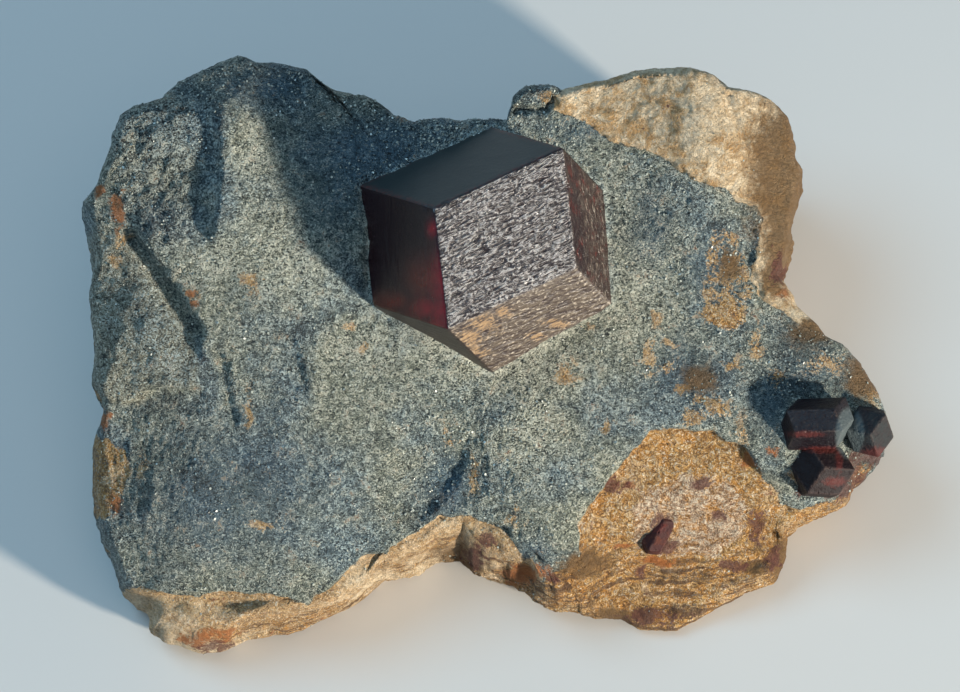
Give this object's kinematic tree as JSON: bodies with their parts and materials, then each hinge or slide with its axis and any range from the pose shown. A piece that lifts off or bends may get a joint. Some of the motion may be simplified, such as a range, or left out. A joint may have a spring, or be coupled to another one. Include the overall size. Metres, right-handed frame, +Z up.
{
  "type": "garnet in matrix",
  "caption": "Natural mineral specimen: a large dark red dodecahedral garnet standing out of a lump of mica schist, with small garnets at one edge; rests on its flat back.",
  "frame": {"origin": "on the ground under the middle of the specimen", "axes": "+X along the longest side, to the right as the crystal is seen from the front; +Y to the back; +Z up, the shortest side"},
  "size_m": [0.0815, 0.0554, 0.0337],
  "materials": {
    "schist": "rough",
    "garnet": "glossy",
    "garnet_dark": "glossy",
    "garnet_coated": "satin",
    "garnet_rusty": "satin",
    "garnet_broken": "satin"
  },
  "bodies": {
    "root": {"schist_matrix": "schist", "garnet_main": "garnet", "garnet_side_upper": "garnet_dark", "garnet_side_tip": "garnet_coated", "garnet_side_lower": "garnet_rusty", "garnet_remnant": "garnet_broken"}
  },
  "joints": []
}
